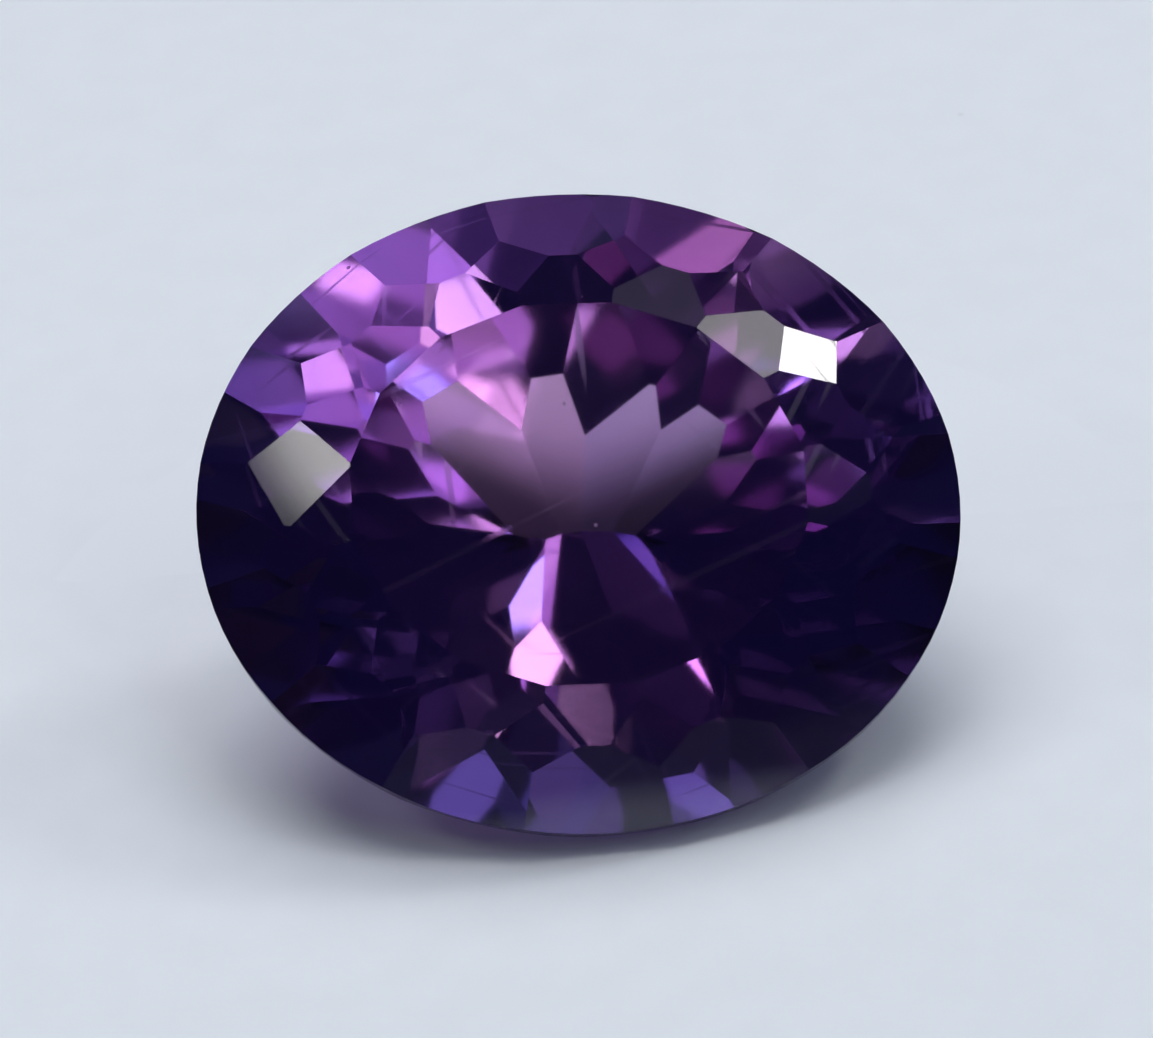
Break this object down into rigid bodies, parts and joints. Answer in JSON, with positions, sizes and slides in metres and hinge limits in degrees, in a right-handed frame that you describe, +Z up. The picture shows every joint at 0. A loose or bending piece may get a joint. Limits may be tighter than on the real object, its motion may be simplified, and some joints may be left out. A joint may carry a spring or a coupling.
{
  "type": "oval cut tanzanite",
  "caption": "Loose oval brilliant-cut gemstone in clear blue-violet crystal, lying tilted on one of its lower facets, to be shown loose or set in a mount.",
  "frame": {"origin": "centre of the bounding box's bottom, at floor height under the resting stone", "axes": "+X along the stone's long axis, -Y towards the side that the table leans to, +Z up from the floor"},
  "size_m": [0.014, 0.0094, 0.0085],
  "materials": {
    "crystal": "polished clear crystal"
  },
  "bodies": {
    "root": {"tanzanite": "crystal"}
  },
  "joints": []
}
